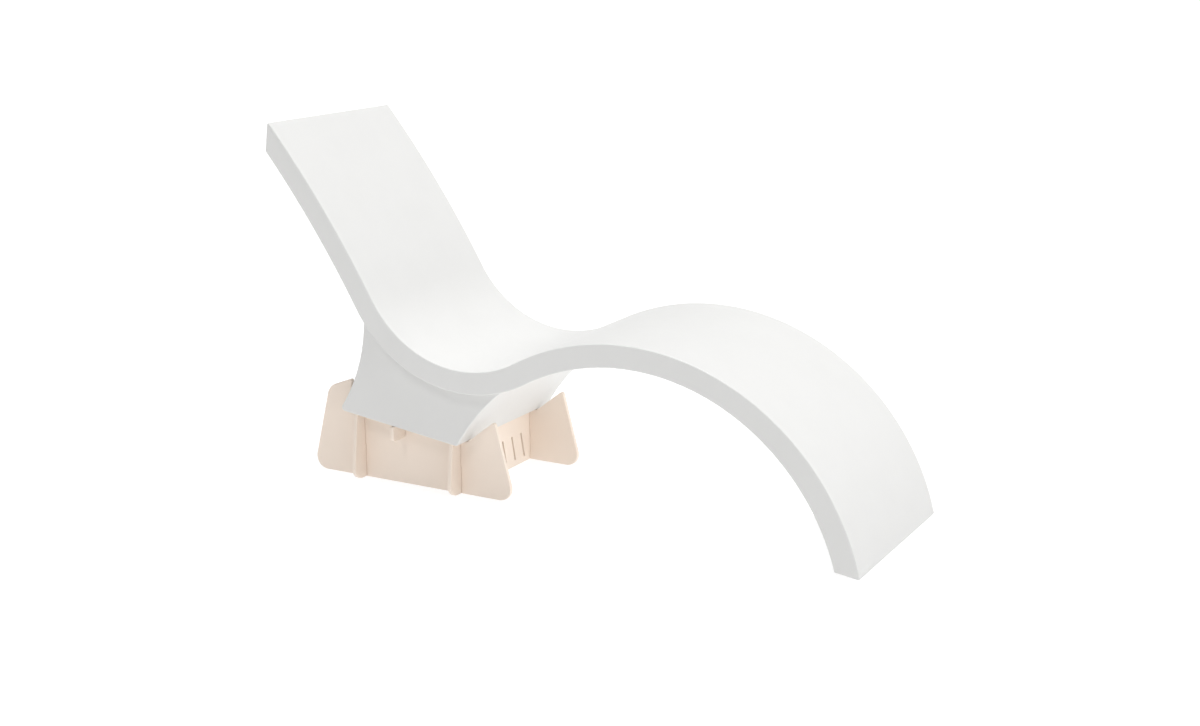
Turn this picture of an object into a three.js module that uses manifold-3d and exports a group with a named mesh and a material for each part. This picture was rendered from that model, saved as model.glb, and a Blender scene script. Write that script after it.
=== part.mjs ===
// In-pool sun lounger: a hollow moulded body that rests on a riser of interlocking sheet panels.
// Millimetres. +X points to the foot end, +Y to the sitter's left, +Z up, the floor is Z = 0.
import * as THREE from "three";
import { mergeVertices } from "three/addons/utils/BufferGeometryUtils.js";
import Module from "manifold-3d";

const wasm = await Module();
wasm.setup();
const toRadians = THREE.MathUtils.degToRad;

// Moulded body, drawn level: its foot corner is the origin and its length runs along -X
const BODY_LENGTH = 1878;
const BODY_WIDTH = 560;
const BODY_THICKNESS = 63;
const WALL = 6;
const LEG_RADIUS = 665;
const LEG_CENTRE_DROP = 238;
const LEG_RISE_ANGLE = toRadians(36.7);
const SEAT_RADIUS = 338;
const RECLINE_ANGLE = toRadians(52.3);
const BACK_RADIUS = 3060;
const END_CORNER_RADIUS = 5;
const LONG_EDGE_RADIUS = 3.5;

// Pedestal moulded under the seat
const PEDESTAL_WIDTH = 485;
const FRONT_COVE_STEP = 19;
const COVE_BLEND_RADIUS = 150;
const REAR_COVE_RADIUS = 480;
const REAR_WAIST_HEIGHT = 235;
const REAR_COVE_SETBACK = 4.6;
const PEDESTAL_CORNER_RADIUS = 16;
const PEDESTAL_EDGE_RADIUS = 4;

// Water ports: a sunk pocket, a flanged insert, a washer and a screw plug
const FILL_BORE_RADIUS = 20;
const FILL_PORT_HEIGHT = 70;
const VENT_BORE_RADIUS = 13;
const VENT_PORT_SETBACK = 98;
const INSERT_WALL = 3.3;
const INSERT_REACH = 14;
const FLANGE_WIDTH = 10;
const FLANGE_THICKNESS = 3;
const WASHER_THICKNESS = 3;
const WASHER_INSET = 4;
const PLUG_HEAD_THICKNESS = 9;
const PLUG_HEAD_INSET = 2;
const PLUG_CHAMFER = 1;
const DISH_DEPTH = 6;
const DISH_RIM = 5;
const GRIP_WIDTH = 7;
const POCKET_CLEARANCE = 6;

// Riser sheet panels
const SHEET = 12;
const SHEET_EDGE_RADIUS = 2;
const SADDLE_HEIGHT = 179.5;
const PANEL_SPACING = 380;
const PANEL_FRONT_REACH = 347;
const PANEL_REAR_REACH = 336;
const PANEL_FRONT_LEAN = toRadians(15.3);
const PANEL_REAR_LEAN = toRadians(14.2);
const PANEL_FOOT_RADIUS = 38;
const EAR_HEIGHT = 222;
const EAR_RADIUS = 7;
const SHOULDER_HEIGHT = 252;
const SHOULDER_RADIUS = 40;
const HORN_HEIGHT = 284;
const HORN_RADIUS = 5;
const SADDLE_CORNER_RADIUS = 6;
const FRONT_CROSS_OFFSET = 169;
const REAR_CROSS_OFFSET = 154.5;
const CROSS_FOOT_OVERHANG = 57;
const CROSS_LEAN = toRadians(6.6);
const CROSS_FOOT_RADIUS = 36;
const CROSS_TOP_RADIUS = 4;
const BRACE_SETBACK = 15;
const BRACE_OVERHANG = 57;
const BRACE_DEPTH = 43;
const BRACE_CORNER_RADIUS = 10;
const BRACE_MOUTH_RADIUS = 12;
const GRILLE_SLOT_WIDTH = 8;
const GRILLE_SLOT_HEIGHT = 76;
const GRILLE_SLOT_SILL = 18;
const GRILLE_SLOT_START = 37;
const GRILLE_SLOT_PITCH = 50;
const GRILLE_LEAN = toRadians(14);
const GRILLE_SLOTS_A_SIDE = 3;

// Clearances and the fineness of curves
const SEAT_GAP = 0.3;
const THREAD_GAP = 0.4;
const LAP_GAP = 0.5;
const SLOT_CLEARANCE = 0.4;
const LIFT_CLEARANCE = 2;
const OVERRUN = 5;
const CHORD_ERROR = 0.3;
const EDGE_STEPS = 3;
const SHEET_EDGE_STEPS = 2;
const TURNED_SIDES = 40;

// Directions in the side view are angles from +Z towards +X
function heading(angle) {
  return new THREE.Vector2(Math.sin(angle), Math.cos(angle));
}

function fromCentre(centre, radius, angle) {
  return heading(angle).multiplyScalar(radius).add(centre);
}

function angleTo(centre, point) {
  return Math.atan2(point.x - centre.x, point.y - centre.y);
}

// Points along an arc, close enough together for the chord error
function arc(centre, radius, from, to) {
  const step = 2 * Math.acos(1 - CHORD_ERROR / radius);
  const count = Math.max(2, Math.ceil(Math.abs(to - from) / step));
  return Array.from({ length: count + 1 }, (_, i) =>
    fromCentre(centre, radius, from + ((to - from) * i) / count),
  );
}

// The meeting point of two circles, to the left of the line from the first centre to the second
function circlesMeet(first, firstRadius, second, secondRadius) {
  const line = second.clone().sub(first);
  const span = line.length();
  const along = (firstRadius ** 2 - secondRadius ** 2 + span ** 2) / (2 * span);
  const aside = Math.sqrt(firstRadius ** 2 - along ** 2);
  line.normalize();
  const left = new THREE.Vector2(-line.y, line.x);
  return first.clone().addScaledVector(line, along).addScaledVector(left, aside);
}

function corner(x, y, radius = 0) {
  return Object.assign(new THREE.Vector2(x, y), { radius });
}

function withCorner(point, radius) {
  return corner(point.x, point.y, radius);
}

// The two sides that leave a corner, half the angle between them, and how far its arc reaches
function sidesOf(points, i) {
  const back = points.at(i - 1).clone().sub(points[i]);
  const ahead = points[(i + 1) % points.length].clone().sub(points[i]);
  const half = Math.acos(back.dot(ahead) / back.length() / ahead.length()) / 2;
  return { back, ahead, half, reach: points[i].radius / Math.tan(half) };
}

// Leaves out the points of a curve that lie nearer to a corner than its arc reaches
function clearOfCorners(points) {
  const passed = points.flatMap((point, i) => {
    if (!point.radius) return [];
    const { reach } = sidesOf(points, i);
    return points.filter((other) => !other.radius && other.distanceTo(point) <= reach);
  });
  return points.filter((point) => !passed.includes(point));
}

// Replaces each corner that has a radius by an arc tangent to its two sides
function rounded(corners) {
  const points = clearOfCorners(corners);
  return points.flatMap((point, i) => {
    if (!point.radius) return [point];
    const { back, ahead, half, reach } = sidesOf(points, i);
    const start = point.clone().addScaledVector(back.normalize(), reach);
    const end = point.clone().addScaledVector(ahead.normalize(), reach);
    const inwards = back.add(ahead).normalize();
    const middle = point.clone().addScaledVector(inwards, point.radius / Math.sin(half));
    const from = angleTo(middle, start);
    const swing = angleTo(middle, end) - from;
    const turn = Math.atan2(Math.sin(swing), Math.cos(swing));
    return arc(middle, point.radius, from, from + turn);
  });
}

function solidOf(geometry) {
  const plain = geometry.index ? geometry.toNonIndexed() : geometry.clone();
  plain.deleteAttribute("normal");
  plain.deleteAttribute("uv");
  const merged = mergeVertices(plain);
  return new wasm.Manifold(
    new wasm.Mesh({
      numProp: 3,
      vertProperties: merged.attributes.position.array,
      triVerts: new Uint32Array(merged.index.array),
    }),
  );
}

function geometryOf(solid) {
  const mesh = solid.getMesh();
  const geometry = new THREE.BufferGeometry();
  const positions = new Float32Array(mesh.vertProperties);
  geometry.setAttribute("position", new THREE.BufferAttribute(positions, 3));
  geometry.setIndex(new THREE.BufferAttribute(new Uint32Array(mesh.triVerts), 1));
  geometry.computeVertexNormals();
  return geometry;
}

// A side-view outline made into a plate across Y, centred on Y = 0, with softened long edges
function plate(outline, width, edge, edgeSteps, holes = []) {
  const shape = new THREE.Shape(outline);
  shape.holes = holes.map((hole) => new THREE.Path(hole));
  const depth = width - 2 * edge;
  const geometry = new THREE.ExtrudeGeometry(shape, {
    depth,
    bevelEnabled: edge > 0,
    bevelThickness: edge,
    bevelSize: edge,
    bevelOffset: -edge,
    bevelSegments: edgeSteps,
    steps: 1,
  });
  geometry.translate(0, 0, -depth / 2);
  geometry.rotateX(Math.PI / 2);
  return geometry;
}

function block(low, high) {
  const size = high.clone().sub(low);
  const middle = low.clone().add(high).multiplyScalar(0.5);
  return new THREE.BoxGeometry(size.x, size.y, size.z).translate(middle.x, middle.y, middle.z);
}

// A turned solid about +Z from a profile of radius and height
function turned(profile) {
  const points = profile.map(([radius, height]) => new THREE.Vector2(radius, height));
  return new THREE.LatheGeometry(points, TURNED_SIDES).rotateX(Math.PI / 2);
}

// Centres of the three arcs that make the body's side view
const legCentre = new THREE.Vector2(-Math.sqrt(LEG_RADIUS ** 2 - LEG_CENTRE_DROP ** 2), -LEG_CENTRE_DROP);
const seatCentre = fromCentre(legCentre, LEG_RADIUS + SEAT_RADIUS, -LEG_RISE_ANGLE);
const backCentre = fromCentre(seatCentre, -(SEAT_RADIUS + BACK_RADIUS), RECLINE_ANGLE);

// The curve that lies a depth under the top surface, from the head cut to the foot cut
function bodyCurve(depth, inset) {
  const back = BACK_RADIUS - depth;
  const leg = LEG_RADIUS - depth;
  const headX = inset - BODY_LENGTH;
  const backStart = Math.asin((headX - backCentre.x) / back);
  const legEnd = Math.acos((inset - legCentre.y) / leg);
  const seatStart = RECLINE_ANGLE - Math.PI;
  const seatEnd = -LEG_RISE_ANGLE - Math.PI;
  return [
    ...arc(backCentre, back, backStart, RECLINE_ANGLE),
    ...arc(seatCentre, SEAT_RADIUS + depth, seatStart, seatEnd).slice(1),
    ...arc(legCentre, leg, -LEG_RISE_ANGLE, legEnd).slice(1),
  ];
}

function withEndCorners(curve, radius) {
  const inner = curve.slice(1, -1);
  return [withCorner(curve[0], radius), ...inner, withCorner(curve.at(-1), radius)];
}

// The body's side view, drawn in from its outside by the inset
function bodyOutline(inset) {
  const radius = Math.max(END_CORNER_RADIUS - inset, 0);
  const top = withEndCorners(bodyCurve(inset, inset), radius);
  const underside = withEndCorners(bodyCurve(BODY_THICKNESS - inset, inset), radius);
  return rounded([...top, ...underside.reverse()]);
}

const frontCoveRadius = LEG_RADIUS - BODY_THICKNESS + FRONT_COVE_STEP;
const pedestalFront = legCentre.x - Math.sqrt(frontCoveRadius ** 2 - LEG_CENTRE_DROP ** 2);

// The rear cove starts on the backrest's underside, a setback above the seat curve
const undersideRadius = BACK_RADIUS - BODY_THICKNESS;
const coveTop = fromCentre(
  backCentre,
  undersideRadius,
  RECLINE_ANGLE - REAR_COVE_SETBACK / undersideRadius,
);
const coveReach = Math.sqrt(REAR_COVE_RADIUS ** 2 - (coveTop.y - REAR_WAIST_HEIGHT) ** 2);
const rearCoveCentre = new THREE.Vector2(coveTop.x - coveReach, REAR_WAIST_HEIGHT);
const pedestalRear = rearCoveCentre.x + Math.sqrt(REAR_COVE_RADIUS ** 2 - REAR_WAIST_HEIGHT ** 2);
const pedestalMiddle = (pedestalFront + pedestalRear) / 2;

// The front cove and the blend that carries it into the underside of the seat
function frontCove(inset) {
  const radius = frontCoveRadius + inset;
  const blend = COVE_BLEND_RADIUS + inset;
  const underside = SEAT_RADIUS + BODY_THICKNESS - inset;
  const start = -Math.acos((inset - legCentre.y) / radius);
  const blendCentre = circlesMeet(legCentre, radius - blend, seatCentre, underside + blend);
  const blendStart = angleTo(legCentre, blendCentre);
  const blendEnd = angleTo(blendCentre, seatCentre);
  return [
    ...arc(legCentre, radius, start, blendStart),
    ...arc(blendCentre, blend, blendStart, blendEnd).slice(1),
  ];
}

// The rear cove, from inside the body's wall down to the flat bottom
function rearCove(inset) {
  const radius = REAR_COVE_RADIUS + inset;
  const insideWall = BACK_RADIUS - BODY_THICKNESS + WALL;
  const top = circlesMeet(rearCoveCentre, radius, backCentre, insideWall);
  const bottom = Math.acos((inset - rearCoveCentre.y) / radius);
  return arc(rearCoveCentre, radius, angleTo(rearCoveCentre, top), bottom);
}

// The pedestal's side view; its top lies at mid thickness of the body that it is moulded with
function pedestalOutline(inset) {
  const radius = Math.max(PEDESTAL_CORNER_RADIUS - inset, 0);
  const front = frontCove(inset);
  const rear = rearCove(inset);
  const core = bodyCurve(BODY_THICKNESS / 2, 0);
  const rearLimit = rear[0].x + BODY_THICKNESS;
  const inside = core.filter((point) => point.x > rearLimit && point.x < front.at(-1).x);
  front[0] = withCorner(front[0], radius);
  rear.push(withCorner(rear.pop(), radius));
  return rounded([...front, ...inside.reverse(), ...rear]);
}

// The level body is pitched forward by the riser until its foot corner meets the floor
const pitch = Math.asin(SADDLE_HEIGHT / -pedestalMiddle);
const origin = new THREE.Vector2();
const pitchedOutline = bodyOutline(0).map((point) => point.rotateAround(origin, -pitch));
const xs = pitchedOutline.map((point) => point.x);
const bodyShift = new THREE.Vector2(
  -(Math.min(...xs) + Math.max(...xs)) / 2,
  -Math.min(...pitchedOutline.map((point) => point.y)),
);

function placed(x, z) {
  return new THREE.Vector2(x, z).rotateAround(origin, -pitch).add(bodyShift);
}

// Sizes that follow from a port's bore, with heights along its axis from the outer surface
function portSizes(bore) {
  const flange = bore + FLANGE_WIDTH;
  const depth = 3 * SEAT_GAP + FLANGE_THICKNESS + WASHER_THICKNESS + PLUG_HEAD_THICKNESS;
  const flangeBottom = SEAT_GAP - depth;
  const washerBottom = flangeBottom + FLANGE_THICKNESS + SEAT_GAP;
  return {
    bore,
    flange,
    depth,
    flangeBottom,
    washerBottom,
    headBottom: washerBottom + WASHER_THICKNESS + SEAT_GAP,
    pocket: flange + POCKET_CLEARANCE,
    barrel: bore - SEAT_GAP,
    thread: bore - SEAT_GAP - INSERT_WALL,
    barrelEnd: flangeBottom - INSERT_REACH,
  };
}

// Each port sits on an arc whose centre lies outside the body, so it faces that centre
function portOnArc(sizes, centre, radius, angle) {
  return { ...sizes, point: fromCentre(centre, radius, angle), facing: angle + Math.PI };
}

const fillPort = portOnArc(
  portSizes(FILL_BORE_RADIUS),
  rearCoveCentre,
  REAR_COVE_RADIUS,
  Math.acos((FILL_PORT_HEIGHT - rearCoveCentre.y) / REAR_COVE_RADIUS),
);
const ventPort = portOnArc(
  portSizes(VENT_BORE_RADIUS),
  backCentre,
  undersideRadius,
  Math.asin((VENT_PORT_SETBACK - BODY_LENGTH - backCentre.x) / undersideRadius),
);

function atPort(geometry, port) {
  return geometry.rotateY(port.facing).translate(port.point.x, 0, port.point.y);
}

function portCylinder(port, radius, low, high) {
  const profile = [[0, low], [radius, low], [radius, high], [0, high]];
  return solidOf(atPort(turned(profile), port));
}

function bodyShell() {
  const outer = solidOf(plate(bodyOutline(0), BODY_WIDTH, LONG_EDGE_RADIUS, EDGE_STEPS)).add(
    solidOf(plate(pedestalOutline(0), PEDESTAL_WIDTH, PEDESTAL_EDGE_RADIUS, EDGE_STEPS)),
  );
  let hollow = solidOf(plate(bodyOutline(WALL), BODY_WIDTH - 2 * WALL, 0, 0)).add(
    solidOf(plate(pedestalOutline(WALL), PEDESTAL_WIDTH - 2 * WALL, 0, 0)),
  );
  let shell = outer;
  for (const port of [fillPort, ventPort]) {
    hollow = hollow.subtract(portCylinder(port, port.pocket + WALL, -port.depth - WALL, OVERRUN));
    shell = shell.subtract(portCylinder(port, port.pocket, -port.depth, OVERRUN));
    shell = shell.subtract(portCylinder(port, port.bore, -port.depth - WALL - OVERRUN, OVERRUN));
  }
  return geometryOf(shell.subtract(hollow));
}

function portInsert(port) {
  return turned([
    [port.thread, port.barrelEnd],
    [port.barrel, port.barrelEnd],
    [port.barrel, port.flangeBottom],
    [port.flange, port.flangeBottom],
    [port.flange, port.flangeBottom + FLANGE_THICKNESS],
    [port.thread, port.flangeBottom + FLANGE_THICKNESS],
    [port.thread, port.barrelEnd],
  ]);
}

function portWasher(port) {
  const outer = port.flange - WASHER_INSET;
  const top = port.washerBottom + WASHER_THICKNESS;
  return turned([
    [port.thread, port.washerBottom],
    [outer, port.washerBottom],
    [outer, top],
    [port.thread, top],
    [port.thread, port.washerBottom],
  ]);
}

// A dished head with a grip bar across it, on a plain shank
function screwPlug(port) {
  const shank = port.thread - THREAD_GAP;
  const head = port.flange - PLUG_HEAD_INSET;
  const dish = head - DISH_RIM;
  const top = port.headBottom + PLUG_HEAD_THICKNESS;
  const dishFloor = top - DISH_DEPTH;
  const turnedPlug = turned([
    [0, port.barrelEnd],
    [shank - PLUG_CHAMFER, port.barrelEnd],
    [shank, port.barrelEnd + PLUG_CHAMFER],
    [shank, port.headBottom],
    [head - PLUG_CHAMFER, port.headBottom],
    [head, port.headBottom + PLUG_CHAMFER],
    [head, top - PLUG_CHAMFER],
    [head - PLUG_CHAMFER, top],
    [dish, top],
    [dish - PLUG_CHAMFER, dishFloor],
    [0, dishFloor],
  ]);
  const reach = dish + DISH_RIM / 2;
  const low = new THREE.Vector3(-reach, -GRIP_WIDTH / 2, dishFloor - PLUG_CHAMFER);
  const high = new THREE.Vector3(reach, GRIP_WIDTH / 2, top - PLUG_CHAMFER / 2);
  return geometryOf(solidOf(turnedPlug).add(solidOf(block(low, high))));
}

// The riser stands square under the middle of the pedestal
const riserMiddle = placed(pedestalMiddle, 0).x;
const panelInset = (PANEL_SPACING - SHEET) / 2;
const saddleFront = placed(pedestalFront, -SEAT_GAP);
const saddleRear = placed(pedestalRear - LIFT_CLEARANCE, -SEAT_GAP);
const frontCrossX = riserMiddle + FRONT_CROSS_OFFSET;
const rearCrossX = riserMiddle - REAR_CROSS_OFFSET;
const braceX = riserMiddle - BRACE_SETBACK;

function saddleAt(x) {
  const share = (x - saddleRear.x) / (saddleFront.x - saddleRear.x);
  return saddleRear.y + share * (saddleFront.y - saddleRear.y);
}

// A cross panel reaches up to the saddle at its front face, which is its lower side
function crossTop(x) {
  return saddleAt(x + SHEET / 2);
}

function sidePanelOutline() {
  const toe = riserMiddle + PANEL_FRONT_REACH;
  const heel = riserMiddle - PANEL_REAR_REACH;
  const lift = heading(pitch);
  const hornTop = saddleRear.clone().addScaledVector(lift, (HORN_HEIGHT - saddleRear.y) / lift.y);
  return rounded([
    corner(heel, 0, PANEL_FOOT_RADIUS),
    corner(toe, 0, PANEL_FOOT_RADIUS),
    corner(toe - EAR_HEIGHT * Math.tan(PANEL_FRONT_LEAN), EAR_HEIGHT, EAR_RADIUS),
    withCorner(saddleFront, SADDLE_CORNER_RADIUS),
    withCorner(saddleRear, SADDLE_CORNER_RADIUS),
    withCorner(hornTop, HORN_RADIUS),
    corner(heel + SHOULDER_HEIGHT * Math.tan(PANEL_REAR_LEAN), SHOULDER_HEIGHT, SHOULDER_RADIUS),
  ]);
}

// A slot one sheet wide, cut across every panel it meets
function slotAcrossX(x, low, high) {
  const half = SHEET / 2 + SLOT_CLEARANCE;
  const reach = PANEL_SPACING;
  const start = new THREE.Vector3(x - half, -reach, low);
  const end = new THREE.Vector3(x + half, reach, high);
  return solidOf(block(start, end));
}

function slotAcrossY(x, y, low, high) {
  const half = SHEET / 2 + SLOT_CLEARANCE;
  const reach = SHEET / 2 + OVERRUN;
  const start = new THREE.Vector3(x - reach, y - half, low);
  const end = new THREE.Vector3(x + reach, y + half, high);
  return solidOf(block(start, end));
}

function sidePanel() {
  const sheet = solidOf(plate(sidePanelOutline(), SHEET, SHEET_EDGE_RADIUS, SHEET_EDGE_STEPS));
  const braceLap = crossTop(braceX) - BRACE_DEPTH / 2;
  const slotted = [frontCrossX, rearCrossX].reduce(
    (panel, x) => panel.subtract(slotAcrossX(x, -OVERRUN, crossTop(x) / 2 + LAP_GAP / 2)),
    sheet,
  );
  return geometryOf(slotted.subtract(slotAcrossX(braceX, braceLap - LAP_GAP / 2, HORN_HEIGHT)));
}

// A sheet across the riser, from its outline as seen along X
function sheetAcross(x, outline, holes = []) {
  const sheet = plate(outline, SHEET, SHEET_EDGE_RADIUS, SHEET_EDGE_STEPS, holes);
  return sheet.rotateZ(Math.PI / 2).translate(x, 0, 0);
}

// Slim round-ended slots that lean in towards the top, the same on both sides
function grilleSlots() {
  const radius = GRILLE_SLOT_WIDTH / 2;
  const low = GRILLE_SLOT_SILL + radius;
  const high = GRILLE_SLOT_SILL + GRILLE_SLOT_HEIGHT - radius;
  const lean = (high - low) * Math.tan(GRILLE_LEAN);
  return [-1, 1].flatMap((side) =>
    Array.from({ length: GRILLE_SLOTS_A_SIDE }, (_, i) => {
      const middle = GRILLE_SLOT_START + i * GRILLE_SLOT_PITCH;
      const foot = new THREE.Vector2(side * (middle + lean / 2), low);
      const head = new THREE.Vector2(side * (middle - lean / 2), high);
      const tilt = -side * GRILLE_LEAN;
      return [
        ...arc(head, radius, tilt - Math.PI / 2, tilt + Math.PI / 2),
        ...arc(foot, radius, tilt + Math.PI / 2, tilt + (3 * Math.PI) / 2),
      ];
    }),
  );
}

// A full-height cross panel whose leaning ends stand out past the side panels that it takes
function crossPanel(x, holes) {
  const top = crossTop(x);
  const footHalf = PANEL_SPACING / 2 + CROSS_FOOT_OVERHANG;
  const topHalf = footHalf - top * Math.tan(CROSS_LEAN);
  const outline = rounded([
    corner(-footHalf, 0, CROSS_FOOT_RADIUS),
    corner(footHalf, 0, CROSS_FOOT_RADIUS),
    corner(topHalf, top, CROSS_TOP_RADIUS),
    corner(-topHalf, top, CROSS_TOP_RADIUS),
  ]);
  return geometryOf(
    [-panelInset, panelInset].reduce(
      (panel, y) => panel.subtract(slotAcrossY(x, y, top / 2 - LAP_GAP / 2, top + OVERRUN)),
      solidOf(sheetAcross(x, outline, holes)),
    ),
  );
}

// A shallow brace with round-mouthed slots in its bottom edge; it drops into the side panels
function middleBrace() {
  const top = crossTop(braceX);
  const bottom = top - BRACE_DEPTH;
  const lap = top - BRACE_DEPTH / 2 + LAP_GAP / 2;
  const slotHalf = SHEET / 2 + SLOT_CLEARANCE;
  const half = PANEL_SPACING / 2 + BRACE_OVERHANG;
  const slots = [-panelInset, panelInset].flatMap((y) => [
    corner(y - slotHalf, bottom, BRACE_MOUTH_RADIUS),
    corner(y - slotHalf, lap),
    corner(y + slotHalf, lap),
    corner(y + slotHalf, bottom, BRACE_MOUTH_RADIUS),
  ]);
  const outline = rounded([
    corner(-half, bottom, BRACE_CORNER_RADIUS),
    ...slots,
    corner(half, bottom, BRACE_CORNER_RADIUS),
    corner(half, top, CROSS_TOP_RADIUS),
    corner(-half, top, CROSS_TOP_RADIUS),
  ]);
  return sheetAcross(braceX, outline);
}

function bodyPlastic() {
  return new THREE.MeshStandardMaterial({ color: 0xf3f3f1, roughness: 0.5, metalness: 0 });
}

function riserPlastic() {
  return new THREE.MeshStandardMaterial({ color: 0xe7d6c6, roughness: 0.6, metalness: 0 });
}

function portPlastic() {
  return new THREE.MeshStandardMaterial({ color: 0xdcdcda, roughness: 0.45, metalness: 0 });
}

function washerRubber() {
  return new THREE.MeshStandardMaterial({ color: 0x2b2b2b, roughness: 0.85, metalness: 0 });
}

function named(name, geometry, material) {
  const mesh = new THREE.Mesh(geometry, material);
  mesh.name = name;
  return mesh;
}

// The insert, washer and plug of one port, standing on the port's own axis
function portGroup(prefix, port) {
  const group = new THREE.Group();
  group.position.set(port.point.x, 0, port.point.y);
  group.rotation.y = port.facing;
  group.add(named(`${prefix}_port_insert`, portInsert(port), portPlastic()));
  group.add(named(`${prefix}_washer`, portWasher(port), washerRubber()));
  group.add(named(`${prefix}_plug`, screwPlug(port), portPlastic()));
  return group;
}

function loungerGroup() {
  const group = new THREE.Group();
  group.position.set(bodyShift.x, 0, bodyShift.y);
  group.rotation.y = pitch;
  group.add(named("lounger_shell", bodyShell(), bodyPlastic()));
  group.add(portGroup("fill", fillPort));
  group.add(portGroup("vent", ventPort));
  return group;
}

function riserGroup() {
  const group = new THREE.Group();
  for (const [name, side] of [["side_panel_left", 1], ["side_panel_right", -1]]) {
    const panel = named(name, sidePanel(), riserPlastic());
    panel.position.y = side * panelInset;
    group.add(panel);
  }
  group.add(named("front_cross_panel", crossPanel(frontCrossX, grilleSlots()), riserPlastic()));
  group.add(named("rear_cross_panel", crossPanel(rearCrossX), riserPlastic()));
  group.add(named("middle_brace", middleBrace(), riserPlastic()));
  return group;
}

const lounger = new THREE.Group();
lounger.add(riserGroup());
lounger.add(loungerGroup());

export default lounger;
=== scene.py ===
import math

import bmesh
import bpy
from mathutils import Matrix, Vector


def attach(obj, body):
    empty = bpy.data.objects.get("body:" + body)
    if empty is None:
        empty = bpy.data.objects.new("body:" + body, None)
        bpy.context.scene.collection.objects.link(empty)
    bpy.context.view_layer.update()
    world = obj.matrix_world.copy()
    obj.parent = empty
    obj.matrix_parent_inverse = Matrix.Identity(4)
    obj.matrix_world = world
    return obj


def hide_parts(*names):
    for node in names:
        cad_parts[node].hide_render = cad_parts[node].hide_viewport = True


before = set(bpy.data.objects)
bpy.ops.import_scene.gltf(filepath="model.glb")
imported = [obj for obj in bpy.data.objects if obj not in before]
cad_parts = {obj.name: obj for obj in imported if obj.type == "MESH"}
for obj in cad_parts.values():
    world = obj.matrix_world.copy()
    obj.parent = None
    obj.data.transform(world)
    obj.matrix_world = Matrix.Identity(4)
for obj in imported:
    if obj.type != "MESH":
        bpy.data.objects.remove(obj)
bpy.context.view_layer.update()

# Sizes repeat the part's own, apart from the pedestal's corners and the slots' clearance, set for
# looks. Threads, flutes, pocket rims and the soft edges of the port pieces are only here.
MM = 0.001

# Moulded body, drawn level: its foot corner is the origin and its length runs along -X
BODY_LENGTH = 1878 * MM
BODY_WIDTH = 560 * MM
BODY_THICKNESS = 63 * MM
LEG_RADIUS = 665 * MM
LEG_CENTRE_DROP = 238 * MM
LEG_RISE_ANGLE = math.radians(36.7)
SEAT_RADIUS = 338 * MM
RECLINE_ANGLE = math.radians(52.3)
BACK_RADIUS = 3060 * MM
END_CORNER_RADIUS = 5 * MM
LONG_EDGE_RADIUS = 3.5 * MM
PEDESTAL_WIDTH = 485 * MM
FRONT_COVE_STEP = 19 * MM
COVE_BLEND_RADIUS = 150 * MM
REAR_COVE_RADIUS = 480 * MM
REAR_WAIST_HEIGHT = 235 * MM
REAR_COVE_SETBACK = 4.6 * MM
PEDESTAL_CORNER_RADIUS = 11 * MM
PEDESTAL_EDGE_RADIUS = 4 * MM
WALL = 6 * MM

# Water ports: a sunk pocket, a flanged insert, a washer and a screw plug
FILL_BORE_RADIUS = 20 * MM
FILL_PORT_HEIGHT = 70 * MM
VENT_BORE_RADIUS = 13 * MM
VENT_PORT_SETBACK = 98 * MM
INSERT_WALL = 3.3 * MM
INSERT_REACH = 14 * MM
FLANGE_WIDTH = 10 * MM
FLANGE_THICKNESS = 3 * MM
WASHER_THICKNESS = 3 * MM
WASHER_INSET = 4 * MM
PLUG_HEAD_THICKNESS = 9 * MM
PLUG_HEAD_INSET = 2 * MM
DISH_DEPTH = 6 * MM
DISH_RIM = 5 * MM
GRIP_WIDTH = 7 * MM
GRIP_DROP = 0.5 * MM
GRIP_SINK = 1.2 * MM
POCKET_CLEARANCE = 6 * MM
POCKET_RIM = 1.5 * MM
PORT_EDGE_RADIUS = 0.6 * MM
THREAD_GAP = 0.4 * MM
THREAD_PITCH = 4 * MM
THREAD_DEPTH = 0.9 * MM
THREAD_FOOT = 2.6 * MM
THREAD_TIP = 0.9 * MM
FLUTES = 20
FLUTE_RADIUS = 2.2 * MM
FLUTE_DEPTH = 0.66 * MM
OVERRUN = 5 * MM

# Riser sheet panels
SHEET = 12 * MM
SHEET_EDGE_RADIUS = 2 * MM
SADDLE_HEIGHT = 179.5 * MM
PANEL_SPACING = 380 * MM
PANEL_FRONT_REACH = 347 * MM
PANEL_REAR_REACH = 336 * MM
PANEL_FRONT_LEAN = math.radians(15.3)
PANEL_REAR_LEAN = math.radians(14.2)
PANEL_FOOT_RADIUS = 38 * MM
EAR_HEIGHT = 222 * MM
EAR_RADIUS = 7 * MM
SHOULDER_HEIGHT = 252 * MM
SHOULDER_RADIUS = 40 * MM
HORN_HEIGHT = 284 * MM
HORN_RADIUS = 5 * MM
SADDLE_CORNER_RADIUS = 6 * MM
FRONT_CROSS_OFFSET = 169 * MM
REAR_CROSS_OFFSET = 154.5 * MM
CROSS_FOOT_OVERHANG = 57 * MM
CROSS_LEAN = math.radians(6.6)
CROSS_FOOT_RADIUS = 36 * MM
CROSS_TOP_RADIUS = 4 * MM
BRACE_SETBACK = 15 * MM
BRACE_OVERHANG = 57 * MM
BRACE_DEPTH = 43 * MM
BRACE_CORNER_RADIUS = 10 * MM
BRACE_MOUTH_RADIUS = 12 * MM
GRILLE_SLOT_WIDTH = 8 * MM
GRILLE_SLOT_HEIGHT = 76 * MM
GRILLE_SLOT_SILL = 18 * MM
GRILLE_SLOT_START = 37 * MM
GRILLE_SLOT_PITCH = 50 * MM
GRILLE_LEAN = math.radians(14)
GRILLE_SLOTS_A_SIDE = 3
SEAT_GAP = 0.3 * MM
LAP_GAP = 0.5 * MM
SLOT_CLEARANCE = 0.1 * MM
LIFT_CLEARANCE = 2 * MM

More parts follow.
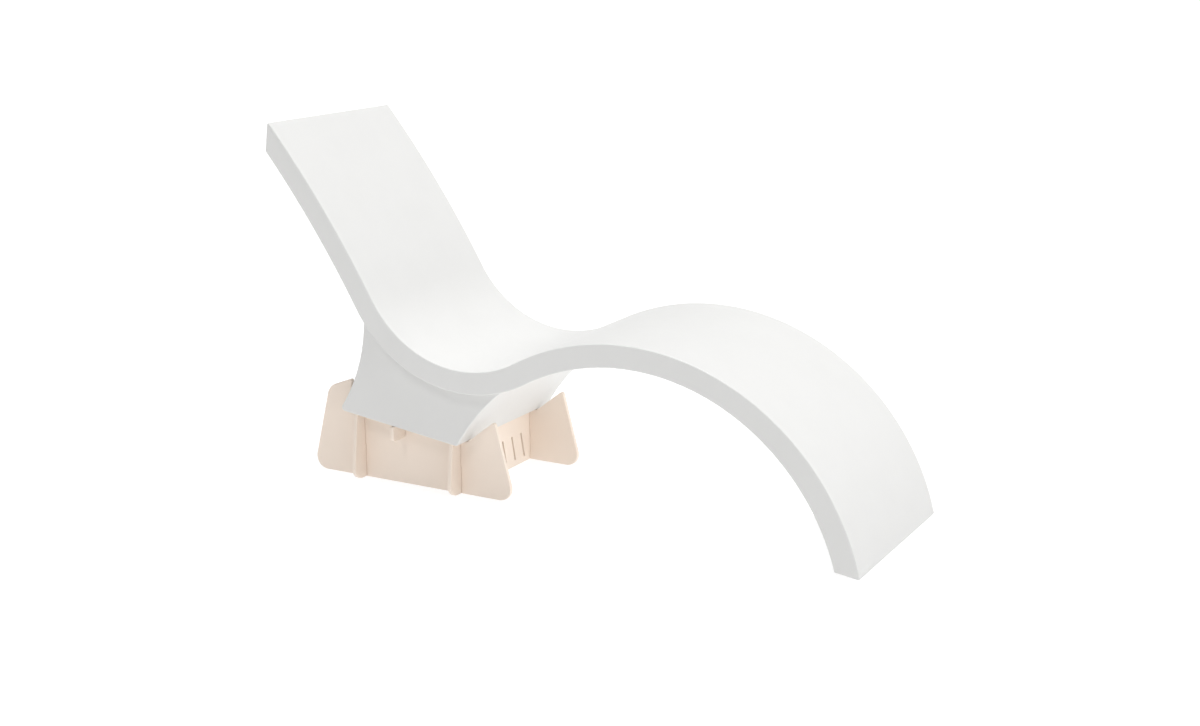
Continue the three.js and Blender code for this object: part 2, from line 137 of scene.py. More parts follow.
# Arcs are fine enough that no facet shows
CHORD_ERROR = 0.012 * MM
EDGE_ROUNDS = 5
CORNER_ROUNDS = 10
TURNED_SIDES = 96
FLUTE_SIDES = 20
GRILLE_SLOT_SIDES = 32
SHARP = math.radians(50)
CREASE = math.radians(40)
NEAR = 0.01 * MM
ACROSS = Vector((0, 1, 0))
UP = Vector((0, 0, 1))
RIGHT_ANGLE = math.pi / 2


def heading(angle):
    """A direction in the side view, at an angle from up towards the foot end."""
    return Vector((math.sin(angle), 0, math.cos(angle)))


def angle_to(centre, point):
    """The heading from a centre to a point."""
    return math.atan2(point.x - centre.x, point.z - centre.z)


def circles_meet(first, first_radius, second, second_radius):
    """Where two circles meet, to the left of the line from the first centre to the second."""
    line = second - first
    span = line.length
    along = (first_radius**2 - second_radius**2 + span**2) / (2 * span)
    aside = math.sqrt(first_radius**2 - along**2)
    line.normalize()
    return first + line * along + Vector((-line.z, 0, line.x)) * aside


def swing(shape, vert, centre, angle):
    """Draws edges along an arc from a point about a centre and gives the arc's far end."""
    step = 2 * math.acos(1 - CHORD_ERROR / (vert.co - centre).length)
    steps = max(3, math.ceil(abs(angle) / step))
    arc = bmesh.ops.spin(shape, geom=[vert], cent=centre, axis=ACROSS, angle=angle, steps=steps)
    return next(part for part in arc["geom_last"] if isinstance(part, bmesh.types.BMVert))


def fill_outline(shape):
    """Closes the one loop of edges with a face."""
    bmesh.ops.contextual_create(shape, geom=shape.edges[:])


def round_corner(shape, vert, radius):
    """Rounds a corner of a flat face."""
    sides = [edge.other_vert(vert).co - vert.co for edge in vert.link_edges]
    bmesh.ops.bevel(
        shape,
        geom=[vert],
        offset=radius / math.tan(sides[0].angle(sides[1]) / 2),
        offset_type="OFFSET",
        segments=CORNER_ROUNDS,
        profile=0.5,
        affect="VERTICES",
        clamp_overlap=False,
        material=-1,
    )


def round_edges(shape, edges, radius):
    bmesh.ops.bevel(
        shape,
        geom=edges,
        offset=radius,
        offset_type="OFFSET",
        segments=EDGE_ROUNDS,
        profile=0.5,
        affect="EDGES",
        clamp_overlap=False,
        material=-1,
    )


def rim_edges(shape, width):
    """The sharp edges that bound a plate's two flat sides."""
    return [
        edge
        for edge in shape.edges
        if edge.calc_face_angle(0) > SHARP
        and all(abs(abs(vert.co.y) - width / 2) < NEAR for vert in edge.verts)
    ]


def thicken(shape, width, edge_radius):
    """Makes the flat outline a plate across Y, centred on the middle plane, with softened rims."""
    drawn = bmesh.ops.extrude_face_region(shape, geom=shape.faces[:])["geom"]
    moved = [part for part in drawn if isinstance(part, bmesh.types.BMVert)]
    bmesh.ops.translate(shape, vec=ACROSS * width, verts=moved)
    bmesh.ops.translate(shape, vec=ACROSS * -width / 2, verts=shape.verts)
    bmesh.ops.recalc_face_normals(shape, faces=shape.faces)
    round_edges(shape, rim_edges(shape, width), edge_radius)


def sheet(corners):
    """A riser sheet across Y, from corners given as a point and a corner radius."""
    shape = bmesh.new()
    verts = [shape.verts.new(point) for point, radius in corners]
    shape.faces.new(verts)
    for vert, (point, radius) in zip(verts, corners):
        if radius:
            round_corner(shape, vert, radius)
    thicken(shape, SHEET, SHEET_EDGE_RADIUS)
    return shape


def turn(shape, profile, edge_radius):
    """Turns a solid about +Z from corners of radius and height, and softens its rims."""
    verts = [shape.verts.new((radius, 0, height)) for radius, height in profile]
    shape.faces.new(verts)
    for vert in verts:
        if vert.co.x > 0 and edge_radius:
            round_corner(shape, vert, edge_radius)
    bmesh.ops.delete(shape, geom=shape.faces[:], context="FACES_ONLY")
    on_axis = [edge for edge in shape.edges if all(vert.co.x == 0 for vert in edge.verts)]
    for edge in on_axis:
        shape.edges.remove(edge)
    bmesh.ops.spin(
        shape,
        geom=shape.verts[:] + shape.edges[:],
        cent=(0, 0, 0),
        axis=UP,
        angle=2 * math.pi,
        steps=TURNED_SIDES,
        use_merge=True,
    )
    bmesh.ops.remove_doubles(shape, verts=shape.verts, dist=NEAR)
    bmesh.ops.recalc_face_normals(shape, faces=shape.faces)


def rod(shape, radius, length, sides, place):
    """Adds a round rod, upright until it is set in its place, and gives its points."""
    return bmesh.ops.create_cone(
        shape,
        cap_ends=True,
        segments=sides,
        radius1=radius,
        radius2=radius,
        depth=length,
        matrix=place,
    )["verts"]


def piece(name, shape, place=None):
    """Makes the modelled shape an object, with its place in its mesh."""
    if place is not None:
        bmesh.ops.transform(shape, matrix=place, verts=shape.verts)
    mesh = bpy.data.meshes.new(name)
    shape.to_mesh(mesh)
    shape.free()
    made = bpy.data.objects.new(name, mesh)
    bpy.context.scene.collection.objects.link(made)
    return made


def combine(base, operation, other):
    """Joins another solid to a piece, or cuts it out, and drops the other."""
    change = base.modifiers.new("combine", "BOOLEAN")
    change.operation = operation
    change.solver = "EXACT"
    change.object = other
    settled = base.evaluated_get(bpy.context.evaluated_depsgraph_get())
    mesh = bpy.data.meshes.new_from_object(settled)
    base.modifiers.clear()
    base.data = mesh
    bpy.data.objects.remove(other)


def smooth(made):
    """Smooth shading with sharp creases kept, and normals weighted by face area."""
    for face in made.data.polygons:
        face.use_smooth = True
    made.data.set_sharp_from_angle(angle=CREASE)
    weigh = made.modifiers.new("weigh", "WEIGHTED_NORMAL")
    weigh.keep_sharp = True


def finish_piece(made, body, slot, node):
    """Gives a piece the finish of its slot and the body it rides on, and hides the CAD node it
    stands for.
    """
    smooth(made)
    made.data.materials.clear()
    made.data.materials.append(finishes[slot])
    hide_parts(node)
    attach(made, body)


# Materials, each by its slot in the record
GLOSS_SPREAD = 0.04
finishes = {}


def noise_between(tree, scale, detail, low, high):
    """Noise on the piece's own coordinates, spread between two values."""
    coords = tree.nodes.new("ShaderNodeTexCoord")
    noise = tree.nodes.new("ShaderNodeTexNoise")
    noise.inputs["Scale"].default_value = scale
    noise.inputs["Detail"].default_value = detail
    tree.links.new(coords.outputs["Object"], noise.inputs["Vector"])
    spread = tree.nodes.new("ShaderNodeMapRange")
    spread.inputs["From Min"].default_value = 0.3
    spread.inputs["From Max"].default_value = 0.7
    spread.inputs["To Min"].default_value = low
    spread.inputs["To Max"].default_value = high
    tree.links.new(noise.outputs["Fac"], spread.inputs["Value"])
    return spread.outputs["Result"]


def relief(tree, scale, detail, depth):
    """A bump node, whose noise is a depth high."""
    bump = tree.nodes.new("ShaderNodeBump")
    bump.inputs["Strength"].default_value = 1
    bump.inputs["Distance"].default_value = depth
    height = noise_between(tree, scale, detail, low=0, high=1)
    tree.links.new(height, bump.inputs["Height"])
    return bump


def moulded(slot, colour, shade, rough, grain, wave):
    """A matte plastic: a faint mottle in colour and gloss, a fine grain and a slow wave.

    Shade is how dark the mottle gets. Grain and wave are each a noise scale and a depth.
    """
    material = bpy.data.materials.new(slot)
    material.use_nodes = True
    tree = material.node_tree
    shader = tree.nodes["Principled BSDF"]
    shader.inputs["Specular IOR Level"].default_value = 0.4
    mottle = tree.nodes.new("ShaderNodeMix")
    mottle.data_type = "RGBA"
    mottle.inputs["A"].default_value = (*[channel * shade for channel in colour], 1)
    mottle.inputs["B"].default_value = (*colour, 1)
    patches = noise_between(tree, scale=9, detail=6, low=0, high=1)
    tree.links.new(patches, mottle.inputs["Factor"])
    tree.links.new(mottle.outputs["Result"], shader.inputs["Base Color"])
    dull, glossy = rough + GLOSS_SPREAD, rough - GLOSS_SPREAD
    gloss = noise_between(tree, scale=60, detail=4, low=glossy, high=dull)
    tree.links.new(gloss, shader.inputs["Roughness"])
    fine = relief(tree, scale=grain[0], detail=3, depth=grain[1])
    slow = relief(tree, scale=wave[0], detail=1, depth=wave[1])
    tree.links.new(slow.outputs["Normal"], fine.inputs["Normal"])
    tree.links.new(fine.outputs["Normal"], shader.inputs["Normal"])
    finishes[slot] = material


moulded(
    "body_plastic",
    colour=(0.726, 0.725, 0.714),
    shade=0.985,
    rough=0.46,
    grain=(900, 0.03 * MM),
    wave=(7, 0.5 * MM),
)
moulded(
    "riser_plastic",
    colour=(0.885, 0.77, 0.67),
    shade=0.98,
    rough=0.55,
    grain=(700, 0.04 * MM),
    wave=(12, 0.15 * MM),
)
moulded(
    "port_plastic",
    colour=(0.62, 0.62, 0.61),
    shade=0.97,
    rough=0.42,
    grain=(1200, 0.015 * MM),
    wave=(40, 0.05 * MM),
)
moulded(
    "washer_rubber",
    colour=(0.02, 0.02, 0.022),
    shade=0.8,
    rough=0.75,
    grain=(1500, 0.02 * MM),
    wave=(60, 0.05 * MM),
)


# Moulded body
def level(x, z):
    """A point of the side view."""
    return Vector((x, 0, z))


leg_centre = level(-math.sqrt(LEG_RADIUS**2 - LEG_CENTRE_DROP**2), -LEG_CENTRE_DROP)
seat_centre = leg_centre + heading(-LEG_RISE_ANGLE) * (LEG_RADIUS + SEAT_RADIUS)
back_centre = seat_centre - heading(RECLINE_ANGLE) * (SEAT_RADIUS + BACK_RADIUS)
front_cove_radius = LEG_RADIUS - BODY_THICKNESS + FRONT_COVE_STEP
pedestal_front = leg_centre.x - math.sqrt(front_cove_radius**2 - LEG_CENTRE_DROP**2)
underside_radius = BACK_RADIUS - BODY_THICKNESS
cove_top_angle = RECLINE_ANGLE - REAR_COVE_SETBACK / underside_radius
cove_top = back_centre + heading(cove_top_angle) * underside_radius
cove_reach = math.sqrt(REAR_COVE_RADIUS**2 - (cove_top.z - REAR_WAIST_HEIGHT) ** 2)
rear_cove_centre = level(cove_top.x - cove_reach, REAR_WAIST_HEIGHT)
pedestal_rear = rear_cove_centre.x + math.sqrt(REAR_COVE_RADIUS**2 - REAR_WAIST_HEIGHT**2)
pedestal_middle = (pedestal_front + pedestal_rear) / 2


def long_line(shape, depth):
    """The line a depth under the body's top surface; gives its ends at the head and the foot."""
    back = BACK_RADIUS - depth
    leg = LEG_RADIUS - depth
    head_angle = math.asin((-BODY_LENGTH - back_centre.x) / back)
    foot_angle = math.acos(-leg_centre.z / leg)
    head = shape.verts.new(back_centre + heading(head_angle) * back)
    bend = swing(shape, head, back_centre, RECLINE_ANGLE - head_angle)
    bend = swing(shape, bend, seat_centre, -RECLINE_ANGLE - LEG_RISE_ANGLE)
    foot = swing(shape, bend, leg_centre, foot_angle + LEG_RISE_ANGLE)
    return head, foot


def ribbon():
    """The S-shaped ribbon of one thickness, drawn level."""
    shape = bmesh.new()
    top_ends = long_line(shape, 0)
    under_ends = long_line(shape, BODY_THICKNESS)
    for top, under in zip(top_ends, under_ends):
        shape.edges.new((top, under))
    fill_outline(shape)
    for end in (*top_ends, *under_ends):
        round_corner(shape, end, END_CORNER_RADIUS)
    thicken(shape, BODY_WIDTH, LONG_EDGE_RADIUS)
    return shape


def pedestal():
    """The pedestal between its two coves; its top ends inside the ribbon."""
    shape = bmesh.new()
    corner = PEDESTAL_CORNER_RADIUS
    down = math.pi

    # Front bottom corner, front cove and the blend into the underside of the seat
    toe_reach = math.sqrt((front_cove_radius + corner) ** 2 - (LEG_CENTRE_DROP + corner) ** 2)
    toe_centre = level(leg_centre.x - toe_reach, corner)
    toe_turn = angle_to(toe_centre, leg_centre)
    bend = toe = shape.verts.new(toe_centre - UP * corner)
    bend = swing(shape, bend, toe_centre, toe_turn - down)
    blend_centre = circles_meet(
        leg_centre,
        front_cove_radius - COVE_BLEND_RADIUS,
        seat_centre,
        SEAT_RADIUS + BODY_THICKNESS + COVE_BLEND_RADIUS,
    )
    blend_start = angle_to(leg_centre, blend_centre)
    bend = swing(shape, bend, leg_centre, blend_start - toe_turn + down)
    bend = swing(shape, bend, blend_centre, angle_to(blend_centre, seat_centre) - blend_start)

    # Through the middle of the ribbon, back to the top of the rear cove
    core = SEAT_RADIUS + BODY_THICKNESS / 2
    inside_angle = angle_to(seat_centre, bend.co)
    inside = shape.verts.new(seat_centre + heading(inside_angle) * core)
    shape.edges.new((bend, inside))
    back_start = RECLINE_ANGLE + down
    inside = swing(shape, inside, seat_centre, back_start - inside_angle % (2 * math.pi))
    top = circles_meet(rear_cove_centre, REAR_COVE_RADIUS, back_centre, underside_radius + WALL)
    bend = shape.verts.new(top)
    shape.edges.new((inside, bend))

    # Rear cove and the rear bottom corner
    heel_reach = math.sqrt((REAR_COVE_RADIUS + corner) ** 2 - (REAR_WAIST_HEIGHT - corner) ** 2)
    heel_centre = level(rear_cove_centre.x + heel_reach, corner)
    heel_turn = angle_to(rear_cove_centre, heel_centre)
    bend = swing(shape, bend, rear_cove_centre, heel_turn - angle_to(rear_cove_centre, top))
    heel = swing(shape, bend, heel_centre, -heel_turn)
    shape.edges.new((heel, toe))
    fill_outline(shape)
    thicken(shape, PEDESTAL_WIDTH, PEDESTAL_EDGE_RADIUS)
    return shape


# The level body is pitched forward by the riser until its foot corner meets the floor
pitch = math.asin(SADDLE_HEIGHT / -pedestal_middle)
body_pitch = Matrix.Rotation(pitch, 4, "Y")
ribbon_shape = ribbon()
bmesh.ops.transform(ribbon_shape, matrix=body_pitch, verts=ribbon_shape.verts)
reach = [vert.co.x for vert in ribbon_shape.verts]
lowest = min(vert.co.z for vert in ribbon_shape.verts)
body_shift = Vector((-(min(reach) + max(reach)) / 2, 0, -lowest))
body_place = Matrix.Translation(body_shift) @ body_pitch


def placed(x, z):
    """A point of the level body, on its riser."""
    return body_place @ level(x, z)


# Each port faces the centre of the arc that it sits on, which lies outside the body
def port_sizes(bore, centre, radius, angle):
    """Sizes of a port, with heights along its axis from the outer surface, and its place."""
    point = centre + heading(angle) * radius
    depth = 3 * SEAT_GAP + FLANGE_THICKNESS + WASHER_THICKNESS + PLUG_HEAD_THICKNESS
    flange_bottom = SEAT_GAP - depth
    washer_bottom = flange_bottom + FLANGE_THICKNESS + SEAT_GAP
    return {
        "place": body_place @ Matrix.Translation(point) @ Matrix.Rotation(angle + math.pi, 4, "Y"),
        "bore": bore,
        "flange": bore + FLANGE_WIDTH,
        "depth": depth,
        "flange_bottom": flange_bottom,
        "washer_bottom": washer_bottom,
        "head_bottom": washer_bottom + WASHER_THICKNESS + SEAT_GAP,
        "pocket": bore + FLANGE_WIDTH + POCKET_CLEARANCE,
        "barrel": bore - SEAT_GAP,
        "thread": bore - SEAT_GAP - INSERT_WALL,
        "barrel_end": flange_bottom - INSERT_REACH,
    }


fill_port = port_sizes(
    FILL_BORE_RADIUS,
    rear_cove_centre,
    REAR_COVE_RADIUS,
    math.acos((FILL_PORT_HEIGHT - rear_cove_centre.z) / REAR_COVE_RADIUS),
)
vent_port = port_sizes(
    VENT_BORE_RADIUS,
    back_centre,
    underside_radius,
    math.asin((VENT_PORT_SETBACK - BODY_LENGTH - back_centre.x) / underside_radius),
)


def port_cutter(port):
    """The sunk pocket with a flared rim and the insert's bore at its middle."""
    shape = bmesh.new()
    deep = port["barrel_end"] - WALL
    profile = [
        (0, OVERRUN),
        (port["pocket"] + POCKET_RIM + OVERRUN, OVERRUN),
        (port["pocket"], -POCKET_RIM),
        (port["pocket"], -port["depth"]),
        (port["bore"], -port["depth"]),
        (port["bore"], deep),
        (0, deep),
    ]
    turn(shape, profile, 0)
    return piece("port_cutter", shape, port["place"])


def lounger_body():
    """The ribbon and the pedestal in one skin, with both ports cut out."""
    body = piece("lounger_body", ribbon_shape, Matrix.Translation(body_shift))
    combine(body, "UNION", piece("pedestal", pedestal(), body_place))
    for port in (fill_port, vent_port):
        combine(body, "DIFFERENCE", port_cutter(port))
    return body


finish_piece(lounger_body(), "lounger", "body_plastic", "lounger_shell")


# Port pieces
def thread_coil(root, crest, low, high):
    """A screw thread's ridge as one coiled bar, its foot sunk into the wall that carries it."""
    shape = bmesh.new()
    side = 1 if crest > root else -1
    sunk = root - side * THREAD_DEPTH / 2
    corners = [
        (sunk, low),
        (sunk, low + THREAD_FOOT),
        (crest, low + (THREAD_FOOT + THREAD_TIP) / 2),
        (crest, low + (THREAD_FOOT - THREAD_TIP) / 2),
    ]
    shape.faces.new([shape.verts.new((radius, 0, height)) for radius, height in corners])
    rise = high - low - THREAD_FOOT
    steps = round(TURNED_SIDES * rise / THREAD_PITCH / 2)
    bmesh.ops.spin(
        shape,
        geom=shape.verts[:] + shape.edges[:] + shape.faces[:],
        cent=(0, 0, 0),
        axis=UP,
        dvec=UP * rise / steps,
        angle=2 * math.pi * rise / THREAD_PITCH,
        steps=steps,
    )
    bmesh.ops.recalc_face_normals(shape, faces=shape.faces)
    return shape


def port_insert(name, port):
    """A flanged bush with a thread cut in its bore."""
    root = port["thread"] + THREAD_DEPTH
    flange_top = port["flange_bottom"] + FLANGE_THICKNESS
    profile = [
        (root, port["barrel_end"]),
        (port["barrel"], port["barrel_end"]),
        (port["barrel"], port["flange_bottom"]),
        (port["flange"], port["flange_bottom"]),
        (port["flange"], flange_top),
        (root, flange_top),
    ]
    shape = bmesh.new()
    turn(shape, profile, PORT_EDGE_RADIUS)
    made = piece(name + "_threaded", shape)
    low = port["barrel_end"] + PORT_EDGE_RADIUS
    high = flange_top - PORT_EDGE_RADIUS
    combine(made, "UNION", piece("coil", thread_coil(root, port["thread"], low, high)))
    made.data.transform(port["place"])
    finish_piece(made, "lounger", "port_plastic", name)


def port_washer(name, port):
    """A flat ring between the insert's flange and the plug's head."""
    top = port["washer_bottom"] + WASHER_THICKNESS
    outer = port["flange"] - WASHER_INSET
    profile = [
        (port["thread"], port["washer_bottom"]),
        (outer, port["washer_bottom"]),
        (outer, top),
        (port["thread"], top),
    ]
    shape = bmesh.new()
    turn(shape, profile, PORT_EDGE_RADIUS)
    made = piece(name + "_ring", shape, port["place"])
    finish_piece(made, name + "_body", "washer_rubber", name)


def flute_cutter(radius, low, high):
    """Upright rods round a rim, which cut its finger flutes."""
    shape = bmesh.new()
    outward = Matrix.Translation((radius, 0, (low + high) / 2))
    for i in range(FLUTES):
        round_rim = Matrix.Rotation(2 * math.pi * i / FLUTES, 4, "Z")
        rod(shape, FLUTE_RADIUS, high - low, FLUTE_SIDES, round_rim @ outward)
    return shape


def grip_bar(length, low, high):
    """A softened bar across the dish."""
    shape = bmesh.new()
    bmesh.ops.create_cube(shape, size=1)
    bmesh.ops.scale(shape, vec=(length, GRIP_WIDTH, high - low), verts=shape.verts)
    bmesh.ops.translate(shape, vec=UP * (low + high) / 2, verts=shape.verts)
    round_edges(shape, shape.edges[:], PORT_EDGE_RADIUS)
    return shape


def screw_plug(name, port):
    """A dished and fluted head with a grip bar across it, on a threaded shank."""
    crest = port["thread"] - THREAD_GAP
    root = crest - THREAD_DEPTH
    head = port["flange"] - PLUG_HEAD_INSET
    dish = head - DISH_RIM
    top = port["head_bottom"] + PLUG_HEAD_THICKNESS
    dish_floor = top - DISH_DEPTH
    profile = [
        (0, port["barrel_end"]),
        (root, port["barrel_end"]),
        (root, port["head_bottom"]),
        (head, port["head_bottom"]),
        (head, top),
        (dish, top),
        (dish, dish_floor),
        (0, dish_floor),
    ]
    shape = bmesh.new()
    turn(shape, profile, PORT_EDGE_RADIUS)
    made = piece(name + "_threaded", shape)
    low = port["barrel_end"] + PORT_EDGE_RADIUS
    high = port["head_bottom"] - PORT_EDGE_RADIUS
    combine(made, "UNION", piece("coil", thread_coil(root, crest, low, high)))
    flute_centre = head + FLUTE_RADIUS - FLUTE_DEPTH
    flutes = flute_cutter(flute_centre, port["head_bottom"] - OVERRUN, top + OVERRUN)
    combine(made, "DIFFERENCE", piece("flutes", flutes))
    bar = grip_bar(2 * dish + DISH_RIM, dish_floor - GRIP_SINK, top - GRIP_DROP)
    combine(made, "UNION", piece("bar", bar))
    made.data.transform(port["place"])
    finish_piece(made, name + "_body", "port_plastic", name)


for use, port in (("fill", fill_port), ("vent", vent_port)):
    port_insert(use + "_port_insert", port)
    port_washer(use + "_washer", port)
    screw_plug(use + "_plug", port)

# Riser panels
riser_middle = placed(pedestal_middle, 0).x
panel_inset = (PANEL_SPACING - SHEET) / 2
saddle_front = placed(pedestal_front, -SEAT_GAP)
saddle_rear = placed(pedestal_rear - LIFT_CLEARANCE, -SEAT_GAP)
front_cross_x = riser_middle + FRONT_CROSS_OFFSET
rear_cross_x = riser_middle - REAR_CROSS_OFFSET
brace_x = riser_middle - BRACE_SETBACK
slot_half = SHEET / 2 + SLOT_CLEARANCE


def saddle_at(x):
    """The height of the saddle's sloping floor."""
    share = (x - saddle_rear.x) / (saddle_front.x - saddle_rear.x)
    return saddle_rear.z + share * (saddle_front.z - saddle_rear.z)


def cross_top(x):
    """The top of a sheet across the riser, level with the saddle at the sheet's front face."""
    return saddle_at(x + SHEET / 2)


def notch(x, mouth_before, depth, mouth_after, mouth_radius=0):
    """The four corners of a slot with its mouth at the given heights either side of x."""
    return [
        (level(x - slot_half, mouth_before), mouth_radius),
        (level(x - slot_half, depth), 0),
        (level(x + slot_half, depth), 0),
        (level(x + slot_half, mouth_after), mouth_radius),
    ]


def side_panel(name, side):
    """A side panel with its ear, saddle and horn, and the slots for the sheets that cross it."""
    toe = riser_middle + PANEL_FRONT_REACH
    heel = riser_middle - PANEL_REAR_REACH
    lift = heading(pitch)
    horn_top = saddle_rear + lift * ((HORN_HEIGHT - saddle_rear.z) / lift.z)
    brace_lap = cross_top(brace_x) - BRACE_DEPTH / 2 - LAP_GAP / 2
    before, after = brace_x - slot_half, brace_x + slot_half
    ear = level(toe - EAR_HEIGHT * math.tan(PANEL_FRONT_LEAN), EAR_HEIGHT)
    shoulder = level(heel + SHOULDER_HEIGHT * math.tan(PANEL_REAR_LEAN), SHOULDER_HEIGHT)
    corners = [
        (level(heel, 0), PANEL_FOOT_RADIUS),
        *notch(rear_cross_x, 0, cross_top(rear_cross_x) / 2 + LAP_GAP / 2, 0),
        *notch(front_cross_x, 0, cross_top(front_cross_x) / 2 + LAP_GAP / 2, 0),
        (level(toe, 0), PANEL_FOOT_RADIUS),
        (ear, EAR_RADIUS),
        (saddle_front, SADDLE_CORNER_RADIUS),
        *notch(brace_x, saddle_at(before), brace_lap, saddle_at(after))[::-1],
        (saddle_rear, SADDLE_CORNER_RADIUS),
        (horn_top, HORN_RADIUS),
        (shoulder, SHOULDER_RADIUS),
    ]
    made = piece(name + "_sheet", sheet(corners), Matrix.Translation(ACROSS * side * panel_inset))
    finish_piece(made, "riser", "riser_plastic", name)


def cross_corners(top):
    """A cross panel: leaning ends, round feet and a slot in its top edge at each side panel."""
    foot_half = PANEL_SPACING / 2 + CROSS_FOOT_OVERHANG
    top_half = foot_half - top * math.tan(CROSS_LEAN)
    slots = [notch(y, top, top / 2 - LAP_GAP / 2, top) for y in (-panel_inset, panel_inset)]
    return [
        (level(-foot_half, 0), CROSS_FOOT_RADIUS),
        (level(foot_half, 0), CROSS_FOOT_RADIUS),
        (level(top_half, top), CROSS_TOP_RADIUS),
        *slots[1][::-1],
        *slots[0][::-1],
        (level(-top_half, top), CROSS_TOP_RADIUS),
    ]


def grille_cutter():
    """Slim round-ended prisms that lean in towards the top, the same on both sides."""
    shape = bmesh.new()
    straight = GRILLE_SLOT_HEIGHT - GRILLE_SLOT_WIDTH
    stretch = UP * straight / math.cos(GRILLE_LEAN) / 2
    middle_height = GRILLE_SLOT_SILL + GRILLE_SLOT_HEIGHT / 2
    through = Matrix.Rotation(RIGHT_ANGLE, 4, "X")
    for side in (-1, 1):
        lean = Matrix.Rotation(-side * GRILLE_LEAN, 4, "Y")
        for i in range(GRILLE_SLOTS_A_SIDE):
            middle = side * (GRILLE_SLOT_START + i * GRILLE_SLOT_PITCH)
            prism = rod(shape, GRILLE_SLOT_WIDTH / 2, 2 * SHEET, GRILLE_SLOT_SIDES, through)
            upper = [vert for vert in prism if vert.co.z > NEAR]
            lower = [vert for vert in prism if vert.co.z < -NEAR]
            bmesh.ops.translate(shape, vec=stretch, verts=upper)
            bmesh.ops.translate(shape, vec=-stretch, verts=lower)
            place = Matrix.Translation(level(middle, middle_height)) @ lean
            bmesh.ops.transform(shape, matrix=place, verts=prism)
    return shape


def brace_corners(top):
    """The brace: a round-mouthed slot in its bottom edge at each side panel."""
    bottom = top - BRACE_DEPTH
    lap = top - BRACE_DEPTH / 2 + LAP_GAP / 2
    slots = [notch(y, bottom, lap, bottom, BRACE_MOUTH_RADIUS) for y in (-panel_inset, panel_inset)]
    half = PANEL_SPACING / 2 + BRACE_OVERHANG
    return [
        (level(-half, bottom), BRACE_CORNER_RADIUS),
        *slots[0],
        *slots[1],
        (level(half, bottom), BRACE_CORNER_RADIUS),
        (level(half, top), CROSS_TOP_RADIUS),
        (level(-half, top), CROSS_TOP_RADIUS),
    ]


def sheet_across(name, body, x, outline, cutter=None):
    """A sheet that stands across the riser at x; its outline follows from its top's height."""
    place = Matrix.Translation((x, 0, 0)) @ Matrix.Rotation(RIGHT_ANGLE, 4, "Z")
    made = piece(name + "_sheet", sheet(outline(cross_top(x))), place)
    if cutter:
        combine(made, "DIFFERENCE", piece("cutter", cutter(), place))
    finish_piece(made, body, "riser_plastic", name)


side_panel("side_panel_left", 1)
side_panel("side_panel_right", -1)
sheet_across("front_cross_panel", "front_cross", front_cross_x, cross_corners, grille_cutter)
sheet_across("rear_cross_panel", "rear_cross", rear_cross_x, cross_corners)
sheet_across("middle_brace", "riser", brace_x, brace_corners)

# Floor and backdrop, both as white as a light table
STAGE_REACH = 60
stage_white = bpy.data.materials.new("stage_white")
stage_white.use_nodes = True
stage_shader = stage_white.node_tree.nodes["Principled BSDF"]
stage_shader.inputs["Base Color"].default_value = (0.3, 0.3, 0.3, 1)
stage_shader.inputs["Roughness"].default_value = 0.9
stage_shader.inputs["Specular IOR Level"].default_value = 0.1
stage_shader.inputs["Emission Color"].default_value = (1, 1, 1, 1)
stage_shader.inputs["Emission Strength"].default_value = 0.8


def stage_piece(name, shape):
    """A piece that isn't part of the lounger."""
    made = piece(name, shape)
    made.data.materials.append(stage_white)
    return made


floor_shape = bmesh.new()
bmesh.ops.create_grid(floor_shape, x_segments=1, y_segments=1, size=STAGE_REACH)
stage_piece("floor", floor_shape)
backdrop_shape = bmesh.new()
bmesh.ops.create_cone(
    backdrop_shape,
    segments=TURNED_SIDES,
    radius1=STAGE_REACH,
    radius2=STAGE_REACH,
    depth=STAGE_REACH,
)
backdrop = stage_piece("backdrop", backdrop_shape)

# The backdrop is seen, but neither lights nor shades the lounger
backdrop.visible_diffuse = False
backdrop.visible_glossy = False
backdrop.visible_shadow = False


# Lights
STUDIO_HEIGHT = 3


def add_lamp(name, light, place, towards):
    """Sets up a lamp that points in a direction and isn't seen itself."""
    lamp = bpy.data.objects.new(name, light)
    lamp.location = place
    lamp.rotation_mode = "QUATERNION"
    lamp.rotation_quaternion = Vector(towards).to_track_quat("-Z", "Y")
    lamp.visible_camera = False
    bpy.context.scene.collection.objects.link(lamp)


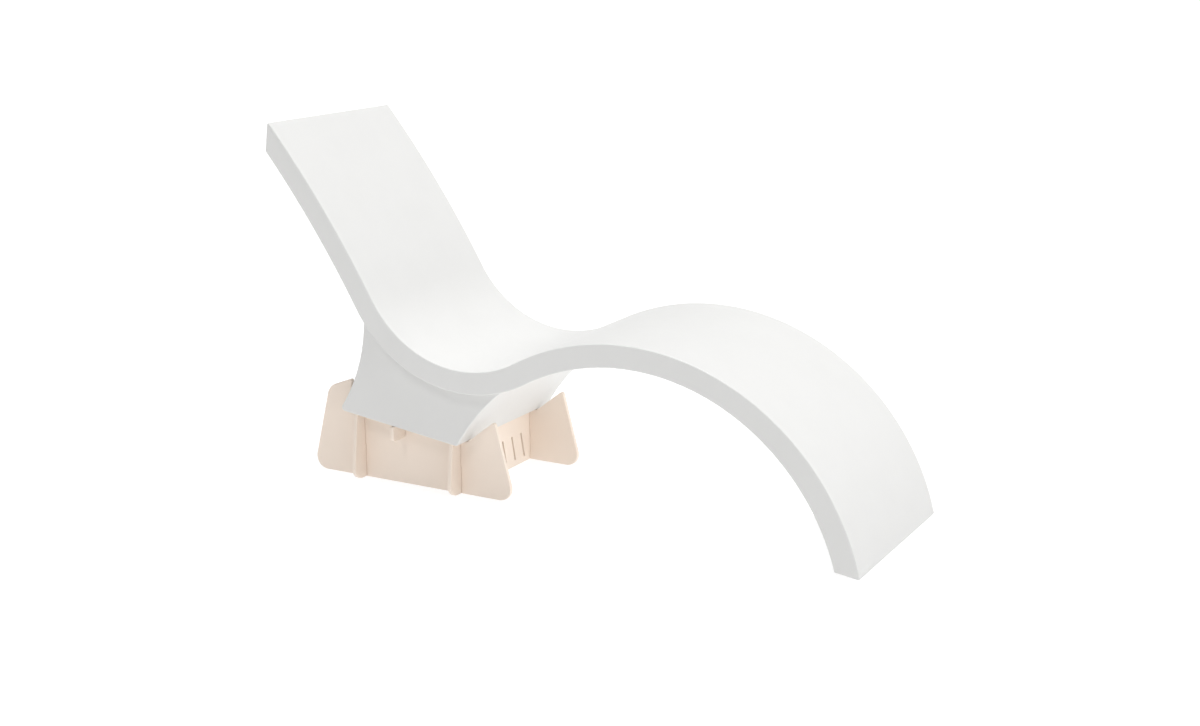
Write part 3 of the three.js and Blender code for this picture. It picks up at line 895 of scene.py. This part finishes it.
def wide_lamp(name, towards, spread, strength):
    """An even light from one direction, softened by a spread in degrees."""
    light = bpy.data.lights.new(name, "SUN")
    light.angle = math.radians(spread)
    light.energy = strength
    add_lamp(name, light, UP * STUDIO_HEIGHT, towards)


def soft_box(name, place, target, size, power):
    """A round soft box that faces its target."""
    light = bpy.data.lights.new(name, "AREA")
    light.shape = "DISK"
    light.size = size
    light.energy = power
    add_lamp(name, light, place, Vector(target) - Vector(place))


wide_lamp("overhead", (0, 0, -1), 24, 2.6)
wide_lamp("low_front", (-0.9, 0.35, -0.12), 25, 0.264)
wide_lamp("front_high", (0, 0.65, -0.75), 16, 0.42)
wide_lamp("foot_far", (-0.7, -0.7, -0.4), 40, 0.506)
soft_box("under_arch", place=(0.62, 0.1, 0.16), target=(-0.4, 0, 0.22), size=0.35, power=1.35)
studio = bpy.data.worlds.new("studio")
studio.use_nodes = True
room_light = studio.node_tree.nodes["Background"]
room_light.inputs["Color"].default_value = (1, 1, 1, 1)
room_light.inputs["Strength"].default_value = 0.339
bpy.context.scene.world = studio
bpy.context.scene.view_settings.view_transform = "Standard"

# Camera at the photograph's viewing angle, placed from the level body's foot corner
AZIMUTH = math.radians(28.9745)
ELEVATION = math.radians(14.2369)
CAMERA_REACH = Vector((1.36646, -4.0427, 1.5467))
FOCAL_LENGTH = 52.38
SENSOR_WIDTH = 36
camera_data = bpy.data.cameras.new("camera")
camera_data.sensor_fit = "HORIZONTAL"
camera_data.sensor_width = SENSOR_WIDTH
camera_data.lens = FOCAL_LENGTH
camera_data.clip_end = 3 * STAGE_REACH
camera = bpy.data.objects.new("camera", camera_data)
camera.location = body_shift + CAMERA_REACH
line_of_sight = Vector(
    (
        -math.sin(AZIMUTH) * math.cos(ELEVATION),
        math.cos(AZIMUTH) * math.cos(ELEVATION),
        -math.sin(ELEVATION),
    )
)
camera.rotation_mode = "QUATERNION"
camera.rotation_quaternion = line_of_sight.to_track_quat("-Z", "Y")
bpy.context.scene.collection.objects.link(camera)
bpy.context.scene.camera = camera
